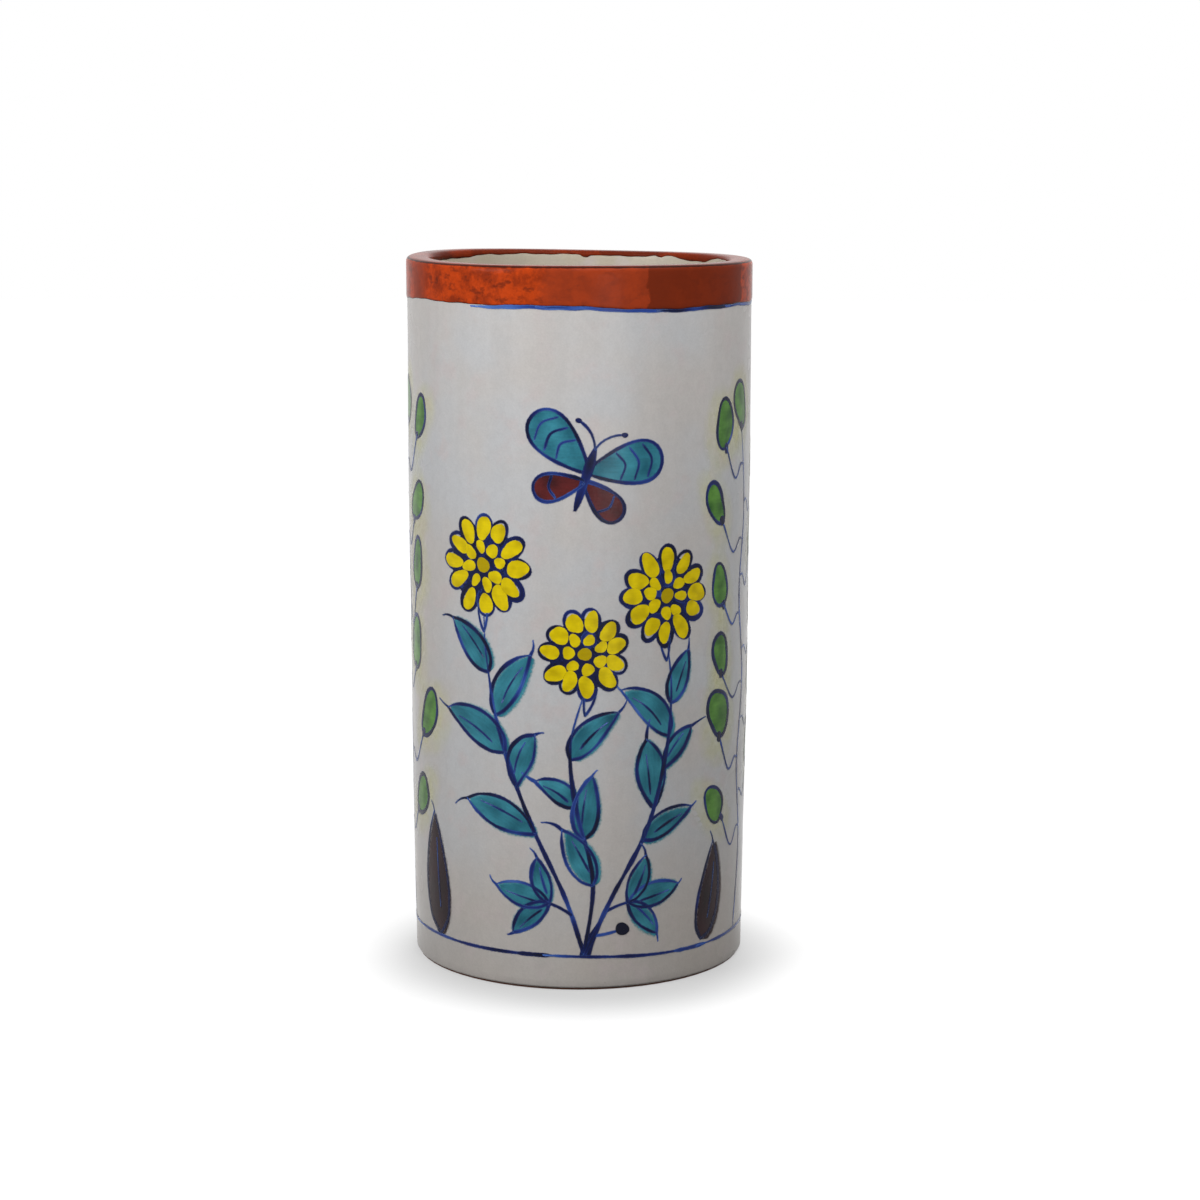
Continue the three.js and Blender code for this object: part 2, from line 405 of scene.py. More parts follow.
def rim_band_material():
    """Orange-brown glaze, mottled, darker where two brush coats overlap and at its edges, with painted shade
    over the crest and inside and a painted dark reflection along the lip's outer corner.
    """
    material, tree, shader = material_with("rim_glaze", 0.2, BAND_SPECULAR)
    place = place_on_object(tree)
    mottle = cloud(tree, place, 150.0, 5.0, 0.65)
    colour = mix(tree, ramp(tree, mottle, 0.36, 0.6), BAND_BROWN, BAND_ORANGE)
    drawn = stretched(tree, place, (190.0, 190.0, 330.0))
    smudge = ramp(tree, cloud(tree, drawn, 1.0, 5.0, 0.65), 0.53, 0.68, 0.0, 0.7)
    colour = mix(tree, smudge, colour, BAND_SMUDGE)
    colour = mottled(tree, colour, cloud(tree, place, 900.0, 3.0), 0.93, 1.07)
    grain = math_node(tree, "MULTIPLY", cloud(tree, place, 360.0, 5.0, 0.65), 0.9)

    def laid(colour, label, start, end, most, coat):
        """The colour with a coat over it where the band's own numbers ask for one."""
        grainy = math_node(tree, "ADD", numbers_of(tree, label)["Fac"], grain)
        return mix(tree, ramp(tree, grainy, start, end, 0.0, most), colour, coat)

    colour = laid(colour, "thin_coat", 0.6, 1.3, 0.75, BAND_THIN_COAT)
    colour = laid(colour, "double_coat", 0.86, 1.0, 0.9, BAND_DOUBLE)
    # painted shade over the lip's crest and the band inside
    colour = laid(colour, "crest", 0.6, 1.3, 0.7, BAND_CREST_SHADE)
    # the band's dark brush edges, and a painted dark reflection along the lip's outer corner
    colour = laid(colour, "edge", 0.95, 1.3, 0.9, BAND_EDGE_AND_REFLECTION_DARK)
    colour = laid(colour, "worn", 1.15, 1.25, 1.0, BAND_WORN)
    feed(tree, shader, {"Base Color": colour, "Normal": glaze_bump(tree, 1.3)})
    return material


# The white coats


def outer_glaze():
    """The outer coat, from just above the foot, where it feathers out, to the lip's crest."""
    rows = []
    for share in shares(3):
        z = FOOT_ROUNDING + GLAZE_FEATHER * share
        out = SEAT + (GLAZE - SEAT) * sin(pi / 2 * share)
        rows.append(turn(lambda angle: (clay_radius(z) + out + share * unevenness(angle, z), z)))
    for share in shares(WALL_STEPS)[1:]:
        z = blend(FOOT_ROUNDING + GLAZE_FEATHER, LIP_START, share)
        rows.append(turn(lambda angle: on_outside_wall(angle, z, GLAZE)))
    rows += [lip_row(share / 2, GLAZE) for share in shares(8)[1:]]
    rows += [lip_row(share / 2, SEAT) for share in reversed(shares(6))]
    for share in reversed(shares(8)[1:-1]):
        z = blend(FOOT_ROUNDING, LIP_START, share)
        rows.append(turn(lambda angle: (clay_radius(z) + SEAT, z)))
    material = white_glaze_material("white_glaze", COOL_WHITE, WARM_WHITE)
    return turned("outer_coat", rows, "white_glaze", material, ["outer_glaze"])


def lining_section(out, steps):
    """(radius, height) down the inside wall and over the coil to the floor."""
    section = []
    for share in shares(steps):
        z = blend(LIP_START, FLOOR_TOP + COIL_SIZE, share)
        section.append((clay_radius(z) - WALL_THICKNESS - out, z))
    centre = clay_radius(FLOOR_TOP) - WALL_THICKNESS - COIL_SIZE
    size = COIL_SIZE - out
    for share in shares(8)[1:]:
        turned_by = pi / 2 * share
        z = FLOOR_TOP + COIL_SIZE - size * sin(turned_by)
        section.append((centre + size * cos(turned_by), z))
    for share in shares(6)[1:-1]:
        section.append((centre * (1 - share), FLOOR_TOP + out))
    return section


def inner_glaze():
    """The lining, over the floor, the coil and the wall to the crest of the lip."""
    rows = [turn(lambda angle: (r, z)) for r, z in reversed(lining_section(SEAT, 12))]
    rows += [lip_row(1 - share / 2, SEAT) for share in shares(6)[1:]]
    rows += [lip_row(0.5 + share / 2, GLAZE) for share in shares(8)[:-1]]
    for r, z in lining_section(GLAZE, LINING_STEPS):
        rows.append(turn(lambda angle: (r - unevenness_inside(angle, z), z)))
    material = white_glaze_material("lining_glaze", LINING_WHITE, LINING_WARM)
    return turned("lining_coat", rows, "white_glaze", material, ["inner_glaze"], ends_on_axis=True)


# The rim band. Its outside edge wanders with the brush, and inside it ends in uneven drips.

BAND_THIN = 0.08                 # thickness of the band right at its edges
EDGE_DARK_TO = 0.7               # how far up from its edge the band is darkened
INSIDE_DROP = 1.4                # crest of the lip down to the band's edge between drips
WALL_PER_LIP = 8.0               # length of inside wall that counts as much as the lip
# Drips of the band down the inside: middle angle, half width in degrees, extra length
INSIDE_DRIPS = ((-114, 26, 1.9), (-148, 6, 0.4), (178, 1.8, 1.0), (164, 13, 0.3),
                (146, 1.6, 0.6), (127, 10, 1.9), (60, 14, 1.5), (-40, 10, 1.2))
# Where two full coats of the band overlap, and where a thin one browns it: from and to in
# degrees. The width of a coat's soft edge is in degrees too.
DOUBLE_COATS = ((22, 66), (146, 171), (-118, -101))
THIN_COATS = ((-12, 30), (84, 126), (-172, -140), (-70, -60))
DOUBLE_SOFT, THIN_SOFT = 4, 9


def band_edge(angle):
    """Height of the band's outside edge."""
    fine = 0.12 * sin(17 * angle + 1) + 0.08 * sin(41 * angle)
    return BAND_EDGE + strayed(angle, RIM_EDGE_RIPPLES) + fine


def from_angle(angle, degrees):
    """Signed distance in degrees from a given angle, the short way round."""
    return (math.degrees(angle) - degrees + 180) % 360 - 180


def inside_edge(angle):
    """Where the band's drippy edge lies inside: up to 1 on the lip, and more on the wall."""
    fine = 0.12 * sin(19 * angle) + 0.1 * sin(47 * angle + 2)
    drop = INSIDE_DROP + strayed(angle, INSIDE_EDGE_RIPPLES) + fine
    for middle, half_width, length in INSIDE_DRIPS:
        away = abs(from_angle(angle, middle)) / half_width
        drop += length * math.exp(-away ** 4)
    lip = LIP_CROWN + GLAZE + BAND
    if drop > lip:
        return 1 + (drop - lip) / WALL_PER_LIP
    return 1 - math.asin((1 - drop / lip) ** (LIP_SQUARENESS / 2)) / pi


def on_inside(angle, share, out):
    """(radius, height) over the lip up to a share of 1, and on down the inside wall."""
    if share <= 1:
        return on_lip(angle, share, out)
    return on_inside_wall(angle, LIP_START - (share - 1) * WALL_PER_LIP, out)


def coated(spans, angle, z, soft):
    """1 where a brush coat lies, 0 elsewhere, and between along its ragged, soft edges."""
    broad = noise.noise(Vector((0.3, soft, z / 3.4)))
    fine = noise.noise(Vector((4, angle * 9, z / 1.6)))
    ragged = 1.6 * broad + 0.8 * fine
    most = 0.0
    for start, end in spans:
        half = (end - start) / 2
        inside = half - abs(from_angle(angle, start + half) + ragged)
        most = max(most, limit(0.5 + inside / soft))
    return most


def feathered(share):
    """How far out the band's face lies, from its thin edge at share 0 to its full coat at 1."""
    return GLAZE + BAND_THIN + (BAND - BAND_THIN) * sin(pi / 2 * limit(share))


def rim_band():
    """The band over both white coats, from its outside edge over the lip to the inside."""
    rows, facts = [], []

    def add(place_at, edge=0.0, worn=0.0, crest=0.0):
        """A row of the band's face, with what its material asks of each of its points."""
        rows.append(turn(place_at))
        for j in range(SEGMENTS):
            angle = FULL_TURN * j / SEGMENTS
            z = place_at(angle)[1]
            double = coated(DOUBLE_COATS, angle, z, DOUBLE_SOFT)
            thin = coated(THIN_COATS, angle, z, THIN_SOFT)
            facts.append((double, thin, edge, worn, crest))

    for up in (0, 0.25, 0.6, BAND_FEATHER):
        out = feathered(up / BAND_FEATHER)
        add(lambda angle: on_outside_wall(angle, band_edge(angle) + up, out), edge=1 - up / EDGE_DARK_TO)
    out = GLAZE + BAND
    for share in shares(14)[1:]:
        low = BAND_FEATHER
        add(lambda angle: on_outside_wall(angle, blend(band_edge(angle) + low, LIP_START, share), out))
    for share in shares(16)[1:]:
        # painted dark reflection: a thin dark line along the lip's outer corner
        corner_dark_reflection = math.exp(-((share - 0.5) / 0.2) ** 2)
        add(lambda angle: on_lip(angle, share / 2, out), corner_dark_reflection, 0.6 * share ** 3, limit(2 * share - 0.4))
    for share in shares(16)[1:]:
        out = feathered(8 * (1 - share))
        # inside, the crest number spreads painted shade over the whole band
        add(lambda angle: on_inside(angle, blend(0.5, inside_edge(angle), share), out),
            edge=0.7 * share ** 6, worn=0.6 * (1 - share), crest=1.0)
    back = GLAZE + SEAT
    for share in reversed(shares(8)):
        rows.append(turn(lambda angle: on_inside(angle, blend(0.5, inside_edge(angle), share), back)))
    for share in reversed(shares(6)[:-1]):
        rows.append(lip_row(share / 2, back))
    rows.append(turn(lambda angle: on_outside_wall(angle, band_edge(angle), back)))
    labels = ("double_coat", "thin_coat", "edge", "worn", "crest")
    facts += [(0.0,) * len(labels)] * (SEGMENTS * len(rows) - len(facts))
    numbers = {}
    for i, label in enumerate(labels):
        numbers[label] = ("FLOAT", "value", [(fact[i],) for fact in facts])
    return turned("rim_band_coat", rows, "rim_glaze", rim_band_material(), ["rim_band"], numbers=numbers)


# Brushwork. Paint lies in thin sheets on the outer coat. Each point of a sheet carries
# its colour, how well it covers, and its place along and across the brush stroke.

STROKE_STEP = 0.9                # between the points of a stroke
RING_STEP = 2.6                  # widest ring of a patch, so that it follows the round wall
SOFT_EDGE = 0.3                  # width of a line's soft edge
WET_EDGE = 1.0                   # width of the soft edge of a leaf's wet colour
LIFT_STEPS = 11                  # lifts of a kind of paint, so that neighbouring sheets differ
LIFT_STEP = 0.0025
GRAIN_SHIFT = 3.7                # between sheets, so that no two have the same streaks


def pointing(degrees):
    """The unit vector of a heading on the painted wall: 0 is to the right and 90 up."""
    way = radians(degrees)
    return Vector((cos(way), sin(way)))


def smooth_path(points):
    """Even steps along a smooth curve through a few points."""
    points = [Vector(point) for point in points]
    ends = [2 * points[0] - points[1], *points, 2 * points[-1] - points[-2]]
    fine = [points[0]]
    for a, b, c, d in zip(ends, ends[1:], ends[2:], ends[3:]):
        for share in shares(12)[1:]:
            curve = 2 * b + (c - a) * share + (2 * a - 5 * b + 4 * c - d) * share ** 2
            fine.append((curve + (3 * b - a - 3 * c + d) * share ** 3) / 2)
    return evenly(fine)


def evenly(points):
    """The same path with its points a step apart."""
    lengths = [0.0]
    for a, b in zip(points, points[1:]):
        lengths.append(lengths[-1] + (b - a).length)
    count = max(3, round(lengths[-1] / STROKE_STEP))
    path, i = [], 0
    for share in shares(count):
        along = share * lengths[-1]
        while i < len(points) - 2 and lengths[i + 1] < along:
            i += 1
        part = (along - lengths[i]) / max(1e-9, lengths[i + 1] - lengths[i])
        path.append(points[i].lerp(points[i + 1], limit(part)))
    return path


def lefts(path):
    """The unit vector to the left of the path at each of its points."""
    sides = []
    for i in range(len(path)):
        along = path[min(i + 1, len(path) - 1)] - path[max(i - 1, 0)]
        sides.append(Vector((-along.y, along.x)).normalized())
    return sides


def bent(start, heading, length, bend, step=1.0):
    """A path that leaves start at a heading in degrees and turns by bend along its length."""
    count = max(6, round(length / step))
    path = [Vector(start)]
    for i in range(count):
        way = pointing(heading + bend * (i + 0.5) / count)
        path.append(path[-1] + way * length / count)
    return path


def along_path(path, share):
    """The place on a path and its heading in degrees at a share of its length."""
    i = round(limit(share) * (len(path) - 1))
    way = path[min(i + 1, len(path) - 1)] - path[max(i - 1, 0)]
    return path[i], math.degrees(math.atan2(way.y, way.x))


def loop(centre, across, along, tilt, rand, rough=0.05, count=28):
    """A closed, slightly irregular oval, anticlockwise, its long way along the tilt."""
    first, second = rand.uniform(0, FULL_TURN), rand.uniform(0, FULL_TURN)
    lean = radians(tilt)
    path = []
    for i in range(count):
        around = FULL_TURN * i / count
        size = 1 + rough * sin(2 * around + first) + 0.6 * rough * sin(3 * around + second)
        x, y = along * size * cos(around), across * size * sin(around)
        path.append(Vector(centre) + Vector((x * cos(lean) - y * sin(lean),
                                             x * sin(lean) + y * cos(lean))))
    return path


COBALT_TONES = (tint(82, 122, 194), tint(46, 74, 152), tint(22, 34, 96), tint(8, 12, 36))


def cobalt(darkness):
    """The blue of a line, from a thin wash at 0 to a full brush at 1."""
    at = limit(darkness) * (len(COBALT_TONES) - 1)
    low = min(int(at), len(COBALT_TONES) - 2)
    return COBALT_TONES[low].lerp(COBALT_TONES[low + 1], at - low)


class Paint:
    """The sheets of one painted piece."""

    def __init__(self, name, kind, seed):
        self.name = name
        self.lift, self.material, self.slot = kind
        self.rand = random.Random(seed)
        self.places, self.faces, self.colours, self.grain = [], [], [], []
        self.sheets = 0

    def start(self):
        """The lift of the next sheet. Neighbouring sheets differ, so none share a place."""
        self.sheets += 1
        return self.lift + LIFT_STEP * (self.sheets % LIFT_STEPS)

    def point(self, place, lift, colour, cover, along, across):
        self.places.append(on_glaze(place, lift))
        self.colours.append((*colour[:3], cover))
        self.grain.append((along, across, GRAIN_SHIFT * self.sheets))

    def grid(self, first, rows, columns, closed=False):
        """Faces between rows of points that start at the first."""
        for i in range(rows - 1 + closed):
            low, high = first + i * columns, first + (i + 1) % rows * columns
            for j in range(columns - 1):
                self.faces.append((low + j, low + j + 1, high + j + 1, high + j))

    def ribbon(self, path, halves, colour_at, edge):
        """Paint along a path, with half a width at each point, and a colour at each share
        of its length and of its half width."""
        lift = self.start()
        first = len(self.places)
        sides = lefts(path)
        along = 0.0
        for i, place in enumerate(path):
            if i:
                along += (place - path[i - 1]).length
            half = halves[i]
            core = max(0.0, half - edge)
            offsets = (half + edge, core, 0.5 * core, 0.0, -0.5 * core, -core, -half - edge)
            for offset in offsets:
                at_rim = abs(offset) > core or i in (0, len(path) - 1)
                colour = colour_at(i / (len(path) - 1), offset / max(half, 0.1))
                self.point(place + sides[i] * offset, lift, colour, 0.0 if at_rim else 1.0, along, offset)
        self.grid(first, len(path), len(offsets))

    def stroke(self, path, width, darkness, head=0.12, tail=0.35):
        """A cobalt brush line that is pressed, swells a little and lifts off. Its head and
        tail are the shares of its length where the brush comes down and goes up."""
        start, end = path[0], path[-1]
        run_in = (path[1] - start).normalized() * SOFT_EDGE * 1.5
        run_out = (end - path[-2]).normalized() * SOFT_EDGE * 1.5
        path = [start - run_in, *path, end + run_out]
        seed = self.rand.uniform(0, 90)
        length = sum((b - a).length for a, b in zip(path, path[1:]))
        last = len(path) - 1
        halves, tones = [], []
        for share in shares(last):
            press = min(1.0, (share / head) ** 0.6, ((1 - share) / tail) ** 0.7)
            wander = noise.noise(Vector((share * length / 7, seed, 0)))
            halves.append(width / 2 * max(0.28, press * (1 + 0.38 * wander)))
            pool = noise.noise(Vector((share * length / 11, seed, 5)))
            tones.append(limit(darkness + 0.55 * pool + 0.25 * (press - 0.7)))

        def tone_at(share, side):
            """The line's blue, a little thinner towards its sides."""
            return cobalt(tones[round(share * last)] - 0.22 * side * side)

        self.ribbon(path, halves, tone_at, SOFT_EDGE)

    def outline(self, closed, start, width, darkness, head=0.04, tail=0.1):
        """A line round a closed path, from one of its points until it overlaps itself."""
        self.stroke(evenly(closed[start:] + closed[:start + 2]), width, darkness, head, tail)

    def patch(self, outline, colour_at, edge, centre=None, cover=1.0, middle=None):
        """Paint inside a closed anticlockwise outline, by rings about its centre, with a
        colour at each place. It covers as told at the outline and in the middle."""
        lift = self.start()
        first = len(self.places)
        centre = centre or sum(outline, Vector((0, 0))) / len(outline)
        middle = cover if middle is None else middle
        rings = max(2, math.ceil(max((place - centre).length for place in outline) / RING_STEP))
        inward = [1 - i / rings for i in range(rings)]
        columns = rings + 1
        for place in outline:
            out = place - centre
            reach = max(out.length, 1e-6)
            core = max(0.0, 1 - edge / reach)
            across = [(1 + edge / reach, 0.0)]
            across += [(core * share, blend(middle, cover, share)) for share in inward]
            for share, shown in across:
                at = centre + out * share
                self.point(at, lift, colour_at(at), shown, at.x, at.y)
        self.grid(first, len(outline), columns, closed=True)
        self.point(centre, lift, colour_at(centre), middle, centre.x, centre.y)
        hub = len(self.places) - 1
        for i in range(len(outline)):
            after = (i + 1) % len(outline)
            self.faces.append((first + columns * i + rings, hub, first + columns * after + rings))

    def finish(self, replaced=()):
        numbers = {"paint": ("FLOAT_COLOR", "color", self.colours),
                   "grain": ("FLOAT_VECTOR", "vector", self.grain)}
        return show(self.name, self.places, self.faces, self.slot, self.material, replaced, numbers)


def paint_material(name, softness, ragged, depth, roughness=GLAZE_ROUGHNESS):
    """Brushed glaze colour. It covers where its points say, with a soft, ragged edge, and
    the depth says how strongly brush streaks and grains shade it."""
    material, tree, shader = material_with(name, roughness, GLAZE_SPECULAR)
    place = place_on_object(tree)
    paint = numbers_of(tree, "paint")
    streaks = cloud(tree, stretched(tree, numbers_of(tree, "grain")["Vector"], (0.16, 1.3, 1.0)), 1.0, 3.0)
    grains = cloud(tree, place, 800.0, 4.0, 0.75)
    uneven = math_node(tree, "MULTIPLY", math_node(tree, "ADD", streaks, grains), depth)
    colour = shade(tree, paint["Color"], math_node(tree, "ADD", uneven, 1 - depth))
    wander = math_node(tree, "SUBTRACT", cloud(tree, place, 1100.0, 3.0), 0.5)
    cover = math_node(tree, "ADD", paint["Alpha"], math_node(tree, "MULTIPLY", wander, ragged))
    alpha = ramp(tree, cover, 0.5 - softness / 2, 0.5 + softness / 2)
    feed(tree, shader, {"Base Color": colour, "Alpha": alpha, "Normal": glaze_bump(tree)})
    return material


def wash_material(name):
    """A thin stain in the glaze, as strong as its points say."""
    material, tree, shader = material_with(name, GLAZE_ROUGHNESS, GLAZE_SPECULAR)
    place = place_on_object(tree)
    paint = numbers_of(tree, "paint")
    wander = ramp(tree, cloud(tree, place, 240.0, 3.0), 0.25, 0.75, 0.55, 1.3)
    alpha = math_node(tree, "MULTIPLY", paint["Alpha"], wander)
    feed(tree, shader, {"Base Color": paint["Color"], "Alpha": alpha, "Normal": glaze_bump(tree)})
    return material


# Kinds of paint: the least lift off the white coat, the material and the slot
LINE = (0.09, paint_material("brushed_cobalt", 0.7, 0.5, 0.35), "cobalt_paint")
FILL = (0.05, paint_material("brushed_colour", 0.9, 0.7, 0.5), "cobalt_paint")
ENAMEL = (0.12, paint_material("yellow_enamel", 0.4, 0.7, 0.2, 0.3), "cobalt_paint")
STAIN = (0.03, wash_material("run_stain"), "white_glaze")

# Colours of the fills, each from thin to pooled
TEAL = (tint(62, 140, 158), tint(16, 76, 94))
MAROON = (tint(98, 34, 34), tint(34, 14, 20))
DARK_MAROON = (tint(48, 20, 26), tint(20, 8, 13))
GREEN = (tint(90, 142, 56), tint(34, 84, 24))
YELLOW = (tint(226, 202, 10), tint(176, 152, 2))
TEAL_RUN = tint(84, 178, 194)    # the teal where it ran thin past an outline
HALO = tint(238, 236, 166)       # pale, because a thin sheet also shades what it lies on


def pooled(colours, seed, size=7.0, base=0.45, contrast=0.7):
    """A colour that drifts between thin and pooled over a patch of paint."""
    thin, full = colours

    def colour_at(place):
        drift = noise.noise(Vector((place.x / size, place.y / size, seed)))
        return thin.lerp(full, limit(base + contrast * drift))

    return colour_at


# Plants. Headings and turns are in degrees, and lengths are along the wall.

LEFT, RIGHT = 1, -1
GROUND = 13                      # height that the plants stand on, just over the ground line
EVEN_LEAF = 0.92                 # a leaf with its belly near the middle. Less puts it lower
RIB_ASIDE = 0.1                  # share of a leaf's width that its midrib lies off its spine


def leaf_half(share, width, low):
    """Half the width of an almond leaf along its length."""
    return width / 2 * max(0.0, sin(pi * share ** low)) ** 0.82


def leaf(fill, line, base, heading, length, width, bend, tail=4.0, colours=TEAL, low=EVEN_LEAF):
    """A leaf: a wet fill that slips past its outline, two edge strokes and a midrib."""
    rand = fill.rand
    spine = bent(base, heading, length, bend, STROKE_STEP)
    last = len(spine) - 1
    sides = lefts(spine)
    run = TEAL_RUN if colours is TEAL else colours[0]
    ink = 0.3 if colours is DARK_MAROON else 0.0
    slip = Vector((rand.uniform(-0.2, 1.3), rand.uniform(-1.2, 0.2)))
    colour_at = pooled(colours, rand.uniform(0, 50))
    wet = [place + slip for place in spine]
    spill = rand.uniform(0.1, 0.7)
    halves = [leaf_half(share, width, low) for share in shares(last)]

    def fill_colour(along, side):
        """The pooled colour, thinned in the outermost fifth of the leaf."""
        i = round(along * last)
        inner = colour_at(wet[i] + sides[i] * side * width / 2)
        return inner.lerp(run, limit(4 * abs(side) - 3.2))

    fill.ribbon(wet, [half + spill for half in halves], fill_colour, WET_EDGE)
    side = rand.choice((-1, 1))
    chosen = [round(last * share) for share in shares(9)]
    for way in (side, -side):
        edge = [spine[i] + sides[i] * way * halves[i] for i in chosen]
        if way == side:
            edge += bent(spine[-1], heading + bend - way * 12, tail, -way * rand.uniform(10, 55), 1.5)[1:]
        line.stroke(smooth_path(edge), rand.uniform(1.0, 1.45), rand.uniform(0.5, 0.8) + ink, 0.06, 0.2)
    rib = [spine[i] + sides[i] * side * RIB_ASIDE * width for i in chosen[2:8]]
    line.stroke(smooth_path(rib), rand.uniform(0.7, 0.95), rand.uniform(0.6, 0.85) + ink, 0.15, 0.5)


def petal_ring(enamel, line, centre, distance, count, along, across, turned_by):
    """A ring of rounded petals: cobalt outlines, with enamel that half covers them."""
    rand = enamel.rand
    for i in range(count):
        way = turned_by + 360 * i / count + rand.uniform(-4, 4)
        at = centre + pointing(way) * distance * rand.uniform(0.96, 1.04)
        outline = loop(at, across, along, way, rand)
        start = rand.randrange(len(outline))
        line.outline(outline, start, rand.uniform(1.0, 2.0), rand.uniform(0.7, 1.0), tail=0.08)
        slip = Vector((rand.uniform(-0.5, 0.5), rand.uniform(-0.5, 0.5)))
        size = rand.uniform(0.78, 0.97)
        dab = loop(at + slip, across * size, along * size, way, rand, 0.1)
        enamel.patch(dab, pooled(YELLOW, rand.uniform(0, 50), 3.0, 0.25, 0.7), 0.28)


def rosette(enamel, line, centre, radius, petals, turned_by=0):
    """A round flower head: two rings of petals about a dotted middle, in shares of its radius."""
    ground = loop(centre, 0.8 * radius, 0.8 * radius, 0, enamel.rand, 0.02, 40)
    line.patch(ground, lambda place: cobalt(0.9), 0.3)
    outer = FULL_TURN * 0.74 * radius / petals / 2
    petal_ring(enamel, line, centre, 0.74 * radius, petals, 0.27 * radius, 0.93 * outer, turned_by)
    inside = petals - 4
    inner = FULL_TURN * 0.36 * radius / inside / 2
    petal_ring(enamel, line, centre, 0.37 * radius, inside, 0.165 * radius, 0.9 * inner, turned_by + 9)
    eye = loop(centre, 0.15 * radius, 0.15 * radius, 0, enamel.rand, 0.06)
    enamel.patch(eye, lambda place: YELLOW[1], 0.25)


def dress_stem(fill, line, path, leaves):
    """Leaves on a stem: the share up it, the side, the length and how far they spread."""
    rand = fill.rand
    for share, side, length, spread in leaves:
        base, way = along_path(path, share)
        heading = way + side * (spread - 14)
        width = rand.uniform(0.38, 0.48) * length
        leaf(fill, line, base, heading, 1.1 * length, width, side * rand.uniform(4, 52),
             tail=rand.uniform(2.5, 8.0), low=rand.uniform(0.72, 1.15))


def sprig(fill, line, path, share, side):
    """A short side shoot of a stem that ends in three leaves."""
    base, way = along_path(path, share)
    stalk = bent(base, way + side * 34, 9, side * 20)
    line.stroke(stalk, 1.1, 0.7, 0.05, 0.1)
    heading = way + side * 54
    for spread, length in ((-46, 17), (2, 21), (46, 18)):
        leaf(fill, line, stalk[-1], heading + spread, length, 0.4 * length, spread * 0.5,
             tail=fill.rand.uniform(2, 5))


# Front and back plants: each stem has its points from the root, in millimetres from the
# plant's middle and up the wall, its leaves, perhaps the place and side of a sprig, and
# its flower head's radius and petals.
PLANT_STEMS = (
    {
        "points": ((3, 13), (-4, 34), (-17, 62), (-28, 92), (-33, 118), (-34, 136)),
        "leaves": ((0.36, LEFT, 27, 46), (0.50, RIGHT, 19, 30),
                   (0.60, LEFT, 27, 38), (0.70, RIGHT, 24, 42), (0.82, LEFT, 22, 34)),
        "sprig": (0.12, LEFT),
        "head": (17.5, 12),
    },
    {
        "points": ((3, 13), (6, 40), (0, 66), (-2, 88), (3, 108)),
        "leaves": ((0.26, LEFT, 21, 38), (0.44, RIGHT, 21, 30), (0.56, LEFT, 16, 40), (0.74, RIGHT, 22, 44)),
        "head": (15.5, 11),
    },
    {
        "points": ((3, 13), (13, 34), (26, 58), (33, 84), (35, 106), (33, 126)),
        "leaves": ((0.38, RIGHT, 21, 40), (0.48, LEFT, 23, 34),
                   (0.60, RIGHT, 17, 30), (0.70, LEFT, 24, 42), (0.80, RIGHT, 18, 30)),
        "sprig": (0.14, RIGHT),
        "head": (17.0, 12),
    },
)
# The thick stroke at their common root, in the same way
ROOT_POINTS = ((3, 12.5), (5.5, 19), (10, 27))


def plant(name, middle, side, seed, grow=1.0):
    """A flowering plant on the wall, mirrored where side is -1."""
    fill = Paint(name + "_leaves", FILL, seed)
    line = Paint(name + "_lines", LINE, seed + 1)
    enamel = Paint(name + "_flowers", ENAMEL, seed + 2)
    for i, parts in enumerate(PLANT_STEMS):
        path = smooth_path((middle + side * x, GROUND + (z - GROUND) * grow) for x, z in parts["points"])
        line.stroke(path, 1.6, 0.72, 0.02, 0.4)
        leaves = [(share, side * way, length, spread) for share, way, length, spread in parts["leaves"]]
        dress_stem(fill, line, path, leaves)
        if "sprig" in parts:
            share, way = parts["sprig"]
            sprig(fill, line, path, share, side * way)
        radius, petals = parts["head"]
        top, heading = along_path(path, 1)
        rosette(enamel, line, top + Vector((0, radius * 0.82)), radius, petals, 15 * i)
        for turn_by in (-26, 26):
            curl = bent(top - Vector((0, 9)), heading + turn_by, 10, -turn_by * 1.2)
            line.stroke(curl, 0.9, 0.6)
    root = smooth_path((middle + side * x, z) for x, z in ROOT_POINTS)
    line.stroke(root, 3.4, 0.95, 0.05, 0.6)
    bud_stalk = bent((middle + side * 6, 20), 4 if side > 0 else 176, 11, 14 * side)
    line.stroke(bud_stalk, 1.0, 0.6)
    bud = loop(bud_stalk[-1], 2.3, 2.6, 0, line.rand, 0.06)
    line.patch(bud, lambda place: cobalt(1.0), 0.25)
    for paint in (fill, line, enamel):
        paint.finish()


def wing(fill, line, root, heading, length, width, colours, bars):
    """One butterfly wing: a rounded fan from its root, with bars drawn across it."""
    out = pointing(heading)
    side = Vector((-out.y, out.x))
    outline = []
    for share in shares(30)[:-1]:
        along = 0.5 - 0.5 * cos(FULL_TURN * share)
        spread = sin(FULL_TURN * share) * (0.3 + 0.7 * along) * width / 2
        outline.append(root + out * along * length + side * -spread)
    outline.reverse()
    colour_at = pooled(colours, fill.rand.uniform(0, 50), 6.0)
    heart = root + out * length * 0.55
    fill.patch([place + Vector((0.3, -0.3)) for place in outline], colour_at, 0.5, heart)
    line.outline(outline, 0, 1.25, 0.75)
    for share in bars:
        reach = 0.8 * math.sqrt(max(0.0, 1 - (2 * share - 1) ** 2)) * (0.3 + 0.7 * share) * width / 2
        middle = root + out * share * length
        bar = smooth_path((middle - side * reach, middle + out * length * 0.09, middle + side * reach))
        line.stroke(bar, 0.9, 0.65, 0.1, 0.15)


